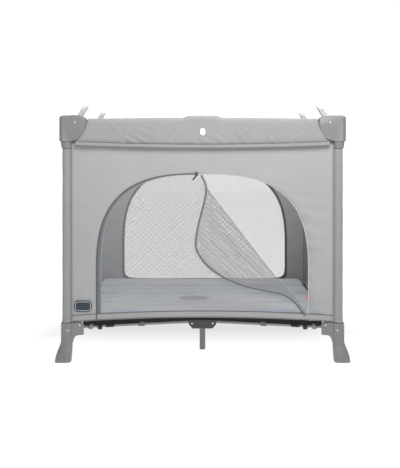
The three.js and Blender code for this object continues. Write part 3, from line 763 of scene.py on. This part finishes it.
def door():
    """The mesh door: zipped in on the left, its free half folded over to the left in front of it."""
    free = smooth_line(FREE_EDGE, 72)
    fold = smooth_line(FOLD, 72)
    steps = 18
    closed_edge = [tuple(p) for p in half_arch(0.001, right=False, count=70)]
    low = [(x, ARCH_SILL - 0.004) for x in np.linspace(0.335, -ARCH_HALF, 24)]
    bm = bmesh.new()
    outline = closed_edge[1:] + [tuple(p) for p in fold] + low
    outline_loop(bm, outline, DOOR_Y)
    bmesh.ops.contextual_create(bm, geom=bm.edges)
    bmesh.ops.triangulate(bm, faces=bm.faces)
    net = finish_piece(bm, "door_net_closed", DOOR_NET, smooth=False)
    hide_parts("door_panel")

    bm = bmesh.new()
    bmesh.ops.create_grid(bm, x_segments=len(free) - 1, y_segments=steps, size=1)
    for vert in bm.verts:
        run = (vert.co.x + 1) / 2 * (len(free) - 1)
        i = min(int(run + 0.5), len(free) - 1)
        across = (vert.co.y + 1) / 2
        t = i / (len(free) - 1)
        x, z = fold[i] * (1 - across) + free[i] * across
        crease = 0.003 * math.sin(across * 17 + 4 * t) * max(0, 1 - 2.4 * t) * min(1, t * 12)
        soft = 0.002 * noise.noise(Vector((x * 11, z * 11, 2)))
        proud = (0.003 + 0.013 * math.sin(math.pi * t) * across + (crease + soft) * math.sin(math.pi * across))
        vert.co = (x, DOOR_Y - proud, z)
    bmesh.ops.recalc_face_normals(bm, faces=bm.faces)
    flap = finish_piece(bm, "door_net_flap", FLAP_NET)
    lift = [0.0037 + 0.013 * math.sin(math.pi * i / (len(free) - 1)) for i in range(len(free))]
    inner = offset_line(free, 0.0026)
    outer = offset_line(free, -0.0026)
    trims = [
        upright_ribbon("door_edge_tape", free, 0.0074, 0.0016, DOOR_Y, ZIP, lift=lift),
        upright_ribbon("door_edge_coil", outer, 0.0022, 0.0026, DOOR_Y, ZIP_DARK, lift=lift),
        upright_ribbon("door_edge_piping", inner, 0.0016, 0.0022, DOOR_Y, TRIM, lift=lift),
        upright_ribbon("door_fold", fold[2:], 0.0022, 0.0014, DOOR_Y - 0.0026, FOLD_NET),
    ]
    pieces = [net, flap, *trims]

    # the zip round the closed side, from the slider down to the hem
    line = half_arch(0.0005, right=False, start=-SLIDER_X)
    pieces.append(upright_ribbon("zip_coil", line, 0.0042, 0.0036, WALL_Y, ZIP_DARK))
    count = len(line)
    bm = bmesh.new()
    wide = [0.0150 * min(1, max(0.12, (1 - i / (count - 1)) * 1.5)) for i in range(count)]
    edge = offset_line(line, -1)
    direction = edge - line
    rows = [line, line + direction * np.array(wide)[:, None]]
    strip = []
    for i in range(count):
        strip.append([bm.verts.new((row[i][0], WALL_Y, row[i][1])) for row in rows])
    for first, second in zip(strip, strip[1:]):
        bm.faces.new((first[0], first[1], second[1], second[0]))
    tape = finish_piece(bm, "zip_tape", ZIP)
    modifier(tape, "SOLIDIFY", thickness=0.0022, offset=0)
    pieces += [
        tape,
        upright_ribbon("zip_tape_edge", rows[1], 0.0022, 0.003, WALL_Y, TRIM),
        upright_ribbon("zip_seam", half_arch(0.012, right=False, start=0.0), 0.0013, 0.0018, WALL_Y,
                       SOFT_SEAM),
        upright_ribbon("arch_binding", half_arch(0.0, start=-SLIDER_X), 0.0034, 0.0032, WALL_Y, PALE),
        upright_ribbon("arch_seam", half_arch(0.011, start=0.0), 0.0013, 0.0018, WALL_Y, SOFT_SEAM),
    ]
    tag_line = [(0.3455, 0.2155), (0.345, 0.2025)]
    pieces.append(upright_ribbon("sewn_tag", tag_line, 0.008, 0.001, WALL_Y + 0.004, TAG))
    return pieces


# ---- padded rail covers ----
PAD_END = pad_high.x
COVER_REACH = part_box("corner_cover_front_left")[1].x + POST   # how far a cover's wings reach inwards
COVER_LOW = 0.724
PAD_GAP = 0.002
PAD_SWELL = 0.0022                             # the filling moves the cover at most this far
WELT = 0.009


def cover_edge(z):
    """How far from the post axis a cover's curved inner edge is at height z."""
    if z < COVER_LOW:
        return POST - PAD_END
    t = min(1, (z - COVER_LOW) / 0.066)
    return 0.018 + (COVER_REACH - 0.018) * math.sin(t * math.pi / 2) ** 0.75 + PAD_GAP


def pad_bottom(x):
    return pad_low.z + WELT + 0.009 * (abs(x) / PAD_END) ** 2


PAD_PROFILE = ((0, 0.8090), (0.045, 0.8086), (0.06, 0.8068), (0.07, 0.8018), (0.2, 0.8016),
               (0.33, 0.7998), (1, 0.7978))


def pad_top(x):
    """The cover's height: it stands proud over the latch and falls to its ends."""
    reach, height = zip(*PAD_PROFILE)
    return float(np.interp(abs(x), reach, height))


def pad_form():
    """The cover's shape before it is filled: a tube of cloth round the rail, flattened at the back."""
    bm = bmesh.new()
    sides, rings = 44, 120
    last = None
    middle_y = (pad_low.y + pad_high.y) / 2
    deep = (pad_high.y - pad_low.y) / 2 - 0.004
    for i in range(rings + 1):
        s = -1 + 2 * i / rings
        ring = bmesh.ops.create_circle(bm, segments=sides, radius=1)["verts"]
        for vert, angle in zip(ring, np.linspace(0, math.tau, sides, endpoint=False)):
            c, sn = math.cos(angle), math.sin(angle)
            y = math.copysign(abs(c) ** 0.55, c) * deep
            share = math.copysign(abs(sn) ** 0.6, sn) / 2 + 0.5
            x_flat = s * PAD_END
            low, high = pad_bottom(x_flat) - 0.001, pad_top(x_flat) - 0.001
            z = low + (high - low) * share
            x = s * (POST - cover_edge(z) - 0.003)
            vert.co = (x, middle_y + y, z)
        if last:
            edges = [e for r in (last, ring) for v in r for e in v.link_edges]
            bmesh.ops.bridge_loops(bm, edges=list({e for e in edges if len(e.link_faces) < 2}))
        last = ring
    bmesh.ops.holes_fill(bm, edges=bm.edges)
    bmesh.ops.recalc_face_normals(bm, faces=bm.faces)
    return bm


def applied(piece):
    """The piece's mesh with its modifiers in it."""
    graph = bpy.context.evaluated_depsgraph_get()
    return bpy.data.meshes.new_from_object(piece.evaluated_get(graph))


def swollen(bm, voxel, cap, pressure=4.0, slack=0.05, steps=20):
    """Cloth of the given form filled until it is firm: returns its mesh."""
    mesh = bpy.data.meshes.new("filling")
    bm.to_mesh(mesh)
    bm.free()
    piece = bpy.data.objects.new("filling", mesh)
    bpy.context.scene.collection.objects.link(piece)
    modifier(piece, "REMESH", mode="VOXEL", voxel_size=voxel)
    base = applied(piece)
    piece.modifiers.clear()
    piece.data = base
    cloth = modifier(piece, "CLOTH")
    cloth.settings.quality = 5
    cloth.settings.mass = 0.15
    cloth.settings.tension_stiffness = 12
    cloth.settings.compression_stiffness = 12
    cloth.settings.shear_stiffness = 4
    cloth.settings.bending_stiffness = 0.3
    cloth.settings.use_pressure = True
    cloth.settings.uniform_pressure_force = pressure
    cloth.settings.shrink_min = -slack
    cloth.settings.effector_weights.gravity = 0
    for step in range(1, steps + 1):
        bpy.context.scene.frame_set(step)
    filled = applied(piece)
    for vert, moved in zip(base.vertices, filled.vertices):
        move = moved.co - vert.co
        move.z = 0                     # its height is held by the rail and the seam
        if move.length > cap:
            move *= cap / move.length
        vert.co += move
    piece.modifiers.clear()
    bpy.context.scene.frame_set(1)
    modifier(piece, "SUBSURF", levels=1, render_levels=1)
    result = applied(piece)
    bpy.data.objects.remove(piece)
    return result


def rumple(x, y, z):
    """Small slanting folds of the loose cloth, in metres outwards."""
    slant = x * 150 + z * 190 + 3 * noise.noise(Vector((x * 14, y * 10, z * 20)))
    cross = x * 210 - z * 170 + 3 * noise.noise(Vector((x * 20, 1, z * 25)))
    first = math.sin(slant) * max(0, noise.noise(Vector((x * 13, 3, z * 16))) + 0.2)
    second = math.sin(cross) * max(0, noise.noise(Vector((x * 15, 8, z * 18))) + 0.15)
    low = min(1, max(0.3, (0.79 - z) / 0.03))
    return (0.0026 * first + 0.0022 * second) * low


def rail_covers():
    whole = swollen(pad_form(), 0.005, PAD_SWELL)
    middle_y = (pad_low.y + pad_high.y) / 2
    for side, quarter in QUARTERS.items():
        ends = {"front": ("left", "right"), "right": ("front", "back"), "back": ("right", "left"),
                "left": ("back", "front")}[side]
        for end, sign in zip(ends, (-1, 1)):
            bm = bmesh.new()
            bm.from_mesh(whole)
            for vert in bm.verts:
                x, y, z = vert.co
                inside = min(1, (PAD_END - abs(x)) / 0.03) * min(1, abs(z - pad_low.z - 0.008) / 0.02)
                out = Vector((0, y - middle_y, (z - 0.75) * 0.5)).normalized()
                shift = 0.37 * quarter
                vert.co += out * rumple(x + shift, y, z) * inside
            geom = [*bm.verts, *bm.edges, *bm.faces]
            bmesh.ops.bisect_plane(bm, geom=geom, plane_co=(0, 0, 0), plane_no=(sign, 0, 0),
                                   clear_inner=True)
            bmesh.ops.holes_fill(bm, edges=[e for e in bm.edges if e.is_boundary])
            bmesh.ops.recalc_face_normals(bm, faces=bm.faces)
            turned(bm, side)
            cover = finish_piece(bm, f"{side}_rail_cover_{end}", PADDING,
                                 f"rail_{side}_{end}", sharp=70)
            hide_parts(f"{side}_rail_pad")
            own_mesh(cover)
            line = [(sign * x, pad_bottom(x) - WELT / 2 + 0.001)
                    for x in np.linspace(0, PAD_END - 0.007, 40)]
            front_y = pad_low.y + 0.004
            for name, shift_z, width, deep, look in (
                    ("welt", 0, WELT - 0.001, 0.004, WELT_CLOTH), ("welt_low", -WELT / 2, 0.0022,
                                                                   0.0052, SEAM),
                    ("welt_high", WELT / 2 + 0.0008, 0.0018, 0.0046, SOFT_SEAM)):
                strip = upright_ribbon(f"{side}_{name}_{end}", [(x, z + shift_z) for x, z in line], width,
                                       deep, front_y, look, side)
                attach(strip, f"rail_{side}_{end}")
                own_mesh(strip)


# ---- mattress ----
def mattress():
    low, high = MATTRESS
    half = high.x
    thick = high.z - low.z
    corner = 0.032
    bm = bmesh.new()
    bmesh.ops.create_grid(bm, x_segments=72, y_segments=96, size=half - 0.0015)
    lower = list(bm.verts)
    made = bmesh.ops.extrude_face_region(bm, geom=list(bm.faces))["geom"]
    upper = {item for item in made if isinstance(item, bmesh.types.BMVert)}
    for vert in bm.verts:
        x, y = vert.co.x, vert.co.y
        over_x, over_y = abs(x) - (half - corner), abs(y) - (half - corner)
        if over_x > 0 and over_y > 0:
            reach = math.hypot(over_x, over_y)
            share = max(over_x, over_y) / reach
            vert.co.x = math.copysign(half - corner + over_x * share, x)
            vert.co.y = math.copysign(half - corner + over_y * share, y)
        vert.co.z = low.z
        if vert in upper:
            panel = (y + half) / (half / 2)
            across = 2 * (panel - math.floor(panel)) - 1
            rim = min(1, (half - max(abs(x), abs(y))) / 0.018)
            crown = (1 - abs(across) ** 8) * 0.5 + 0.5
            soft = 0.0016 * noise.noise(Vector((x * 7, y * 7, 3))) + 0.0008 * noise.noise(
                Vector((x * 30, y * 14, 8)))
            vert.co.z = low.z + thick - 0.0045 + 0.0045 * crown * rim ** 0.5 + soft * rim
        pull = 0.006 * (1 - (y / half) ** 2) if abs(x) > half - 0.03 else 0
        vert.co.x -= math.copysign(pull, x)
    bmesh.ops.recalc_face_normals(bm, faces=bm.faces)
    rim = [e for e in bm.edges if e.calc_face_angle(0) > 1.0]
    bmesh.ops.bevel(bm, geom=rim, offset=0.006, offset_type="OFFSET", affect="EDGES", segments=3,
                    profile=0.5, material=-1)
    pad = finish_piece(bm, "mattress_pad", PRINT, "mattress")
    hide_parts("mattress")
    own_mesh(pad)
    for index, y in enumerate((-half / 2, 0, half / 2)):
        line = [(x, y, high.z - 0.003) for x in np.linspace(-half + 0.008, half - 0.008, 30)]
        seam = finish_piece(ribbon(line, 0.003, 0.003, (0, 0, 1)), f"mattress_seam_{index + 1}", SEAM,
                            "mattress")
        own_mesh(seam)
    edge = [(x, -half + 0.001, high.z - 0.0055) for x in np.linspace(-half + 0.035, half - 0.035, 30)]
    piping = finish_piece(ribbon(edge, 0.003, 0.003), "mattress_piping", ZIP,
                          "mattress")
    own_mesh(piping)


# ---- posts' sleeves and the cloth under the floor ----
def post_sleeves():
    for corner, body in (("front_left", "fl"), ("front_right", "fr"), ("back_left", "bl"),
                         ("back_right", "br")):
        x = 1 if "right" in corner else -1
        y = 1 if "back" in corner else -1
        bm = bmesh.new()
        low, high = FOOT_TOP + 0.001, WALL_TOP + 0.003
        rings = 40
        bmesh.ops.create_cone(bm, segments=32, radius1=SLEEVE, radius2=SLEEVE, depth=high - low,
                              matrix=Matrix.Translation((x * POST, y * POST, (low + high) / 2)))
        long_edges = [e for e in bm.edges if abs(e.verts[0].co.z - e.verts[1].co.z) > 0.1]
        bmesh.ops.subdivide_edges(bm, edges=long_edges, cuts=rings)
        for vert in bm.verts:
            out = Vector((vert.co.x - x * POST, vert.co.y - y * POST, 0))
            ripple = noise.noise(Vector((out.x * 60 + x, out.y * 60 + y, vert.co.z * 16)))
            vert.co += out.normalized() * 0.0008 * ripple
        sleeve = finish_piece(bm, f"post_sleeve_{corner}", SLEEVING, f"post_{body}")
        modifier(sleeve, "SOLIDIFY", thickness=0.001, offset=-1)
        ring = bmesh.new()
        bmesh.ops.create_cone(ring, segments=32, radius1=SLEEVE + 0.0012, radius2=SLEEVE + 0.0008,
                              depth=0.009, matrix=Matrix.Translation((x * POST, y * POST, low + 0.0045)))
        cuff = finish_piece(ring, f"sleeve_cuff_{corner}", HEM, f"post_{body}", sharp=50)
        modifier(cuff, "SOLIDIFY", thickness=0.0015, offset=-1)
        for across, name in ((0, "front"), (1, "side")):
            spot = Vector((x * (POST - SLEEVE), y * (POST + 0.004), 0))
            normal = Vector((0, y, 0))
            if across:
                spot = Vector((x * (POST + 0.004), y * (POST - SLEEVE), 0))
                normal = Vector((x, 0, 0))
            line = [spot + Vector((0, 0, z)) for z in np.linspace(low + 0.004, high - 0.003, 20)]
            finish_piece(ribbon(line, 0.0085, 0.0055, normal), f"post_seam_{corner}_{name}", WELT_DARK,
                         f"post_{body}", sharp=50)


def under_floor():
    """Black cloth: one quarter of the floor on each arm, and a black sleeve round each arm's upper half as
    painted shade under the floor cloth.
    """
    floor_low, floor_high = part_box("floor_panel")
    half = floor_high.x
    slot_x, slot_y = 0.018, 0.026
    for corner, body in (("front_left", "fl"), ("front_right", "fr"), ("back_left", "bl"),
                         ("back_right", "br")):
        x = 1 if "right" in corner else -1
        y = 1 if "back" in corner else -1
        low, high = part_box(f"floor_arm_{corner}")
        radius = ARM
        foot_end = Vector((x * (max(abs(low.x), abs(high.x)) - radius),
                           y * (max(abs(low.y), abs(high.y)) - radius), high.z - radius))
        joint_end = Vector((x * (min(abs(low.x), abs(high.x)) + radius),
                            y * (min(abs(low.y), abs(high.y)) + radius), low.z + radius))
        along = (joint_end - foot_end)
        flat = Vector((along.x, along.y, 0)).normalized()
        across = Vector((-flat.y, flat.x, 0))
        bm = bmesh.new()
        plan = [(slot_x, 0), (half, 0), (half, half), (0, half), (0, slot_y), (slot_x, slot_y)]
        verts = [bm.verts.new((x * u, y * v, floor_high.z - 0.0008)) for u, v in plan]
        bm.faces.new(verts)
        bmesh.ops.triangulate(bm, faces=bm.faces)
        bmesh.ops.subdivide_edges(bm, edges=bm.edges, cuts=5, use_grid_fill=True)
        bmesh.ops.recalc_face_normals(bm, faces=bm.faces)
        quarter = finish_piece(bm, f"floor_cloth_{corner}", BLACK, f"arm_{body}")
        modifier(quarter, "SOLIDIFY", thickness=CLOTH, offset=0)
        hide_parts("floor_panel")
        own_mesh(quarter)
        # painted shade: this black sleeve over the arm's upper half is a dark sheet that stands in for the
        # shade falling on the tube under the floor cloth
        bm = bmesh.new()
        outer, skin = radius + 0.0022, 0.0012
        last = None
        for share in np.linspace(0.07, 0.93, 24):
            spot = foot_end.lerp(joint_end, share)
            top = min(floor_low.z - 0.0005 - spot.z, outer + 0.001 + 0.006 * (1 - share) ** 2)
            drop = 0.0035 - 0.004 * (1 - share) + 0.0012 * noise.noise(Vector((share * 9, x, y)))
            section = [(outer, drop), (outer, top), (-outer, top), (-outer, drop),
                       (-outer + skin, drop), (-outer + skin, top - skin), (outer - skin, top - skin),
                       (outer - skin, drop)]
            ring = [bm.verts.new(spot + across * u + Vector((0, 0, w))) for u, w in section]
            if last:
                for k in range(len(ring)):
                    n = (k + 1) % len(ring)
                    bm.faces.new((last[k], last[n], ring[n], ring[k]))
            else:
                bm.faces.new(ring)
            last = ring
        bm.faces.new(last)
        bmesh.ops.recalc_face_normals(bm, faces=bm.faces)
        shade_sleeve = finish_piece(bm, f"arm_shade_sleeve_{corner}", BLACK, f"arm_{body}", sharp=50)
        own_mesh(shade_sleeve)
        arm_clips(corner, body, foot_end, joint_end, across)


def arm_clips(corner, body, foot_end, joint_end, across):
    """The clips that hold the floor cloth to an arm, from its foot inwards."""
    along = (joint_end - foot_end).normalized()
    turn = Matrix((along, across, along.cross(across))).transposed().to_4x4()
    for name, distance, size, drop, look, slot in (
            ("clamp", 0.052, (0.016, 0.024, 0.020), -0.002, STEEL, "frame_steel"),
            ("knob", 0.084, (0.013, 0.025, 0.017), -0.006, KNOB, "joint_plastic"),
            ("hook", 0.118, (0.030, 0.024, 0.012), -0.002, KNOB, "joint_plastic"),
            ("clip", 0.232, (0.026, 0.0235, 0.019), -0.001, CLIP, "joint_plastic")):
        bm = bmesh.new()
        bmesh.ops.create_cube(bm, size=1)
        bmesh.ops.scale(bm, verts=bm.verts, vec=size)
        rounded(bm, min(size) * 0.3, 3)
        bmesh.ops.transform(bm, verts=bm.verts,
                            matrix=Matrix.Translation(foot_end + along * distance + Vector((0, 0,
                                                                                            drop))) @ turn)
        finish_piece(bm, f"floor_{name}_{corner}", look, f"arm_{body}", sharp=60)


def gather(pieces, side):
    """Lets a wall's pieces ride on its post."""
    for piece in pieces:
        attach(piece, WALL_BODIES[side])
        if side in ("front", "back"):
            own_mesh(piece)
        else:
            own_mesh(piece)


# ---- camera, light and floor ----
WORLD_LIGHT = 0.3


def studio():
    bm = bmesh.new()
    bmesh.ops.create_grid(bm, x_segments=8, y_segments=8, size=12)
    bmesh.ops.translate(bm, verts=bm.verts, vec=(0, 0, -0.0004))
    mesh = bpy.data.meshes.new("studio_floor")
    bm.to_mesh(mesh)
    bm.free()
    mesh.materials.append(studio_floor("studio_floor").material)
    floor = bpy.data.objects.new("studio_floor", mesh)
    bpy.context.scene.collection.objects.link(floor)
    world = bpy.data.worlds.new("studio")
    bpy.context.scene.world = world
    world.use_nodes = True
    tree = world.node_tree
    background = tree.nodes["Background"]
    background.inputs["Color"].default_value = (1, 1, 1, 1)
    seen = tree.nodes.new("ShaderNodeLightPath")
    strength = tree.nodes.new("ShaderNodeMapRange")
    strength.inputs["To Min"].default_value = WORLD_LIGHT
    strength.inputs["To Max"].default_value = 1.1
    tree.links.new(seen.outputs["Is Camera Ray"], strength.inputs["Value"])
    tree.links.new(strength.outputs[0], background.inputs["Strength"])
    lamps = (("key", (0.25, -1.7, 1.55), 1.1, 28), ("top", (0.4, 0.1, 3.0), 0.8, 46),
             ("back", (0.8, 2.6, 3.0), 2.6, 18))
    for name, place, size, watts in lamps:
        data = bpy.data.lights.new(name, "AREA")
        data.shape, data.size, data.energy = "DISK", size, watts
        lamp = bpy.data.objects.new(name, data)
        bpy.context.scene.collection.objects.link(lamp)
        lamp.location = place
        lamp.rotation_euler = (Vector((0, 0, 0.35)) - Vector(place)).to_track_quat("-Z", "Y").to_euler()
    camera = bpy.data.objects.new("camera", bpy.data.cameras.new("camera"))
    bpy.context.scene.collection.objects.link(camera)
    camera.location = (-0.0086, -3.585, 0.6945)
    camera.rotation_euler = (math.pi / 2, 0, 0)
    camera.data.lens = 73.15
    camera.data.shift_y = -0.1795
    bpy.context.scene.camera = camera
    bpy.context.scene.view_settings.view_transform = "Standard"


studio()
hard_parts()
post_sleeves()
for side in QUARTERS:
    gather(wall_cloth(side), side)
gather(door(), "front")
rail_covers()
mattress()
under_floor()
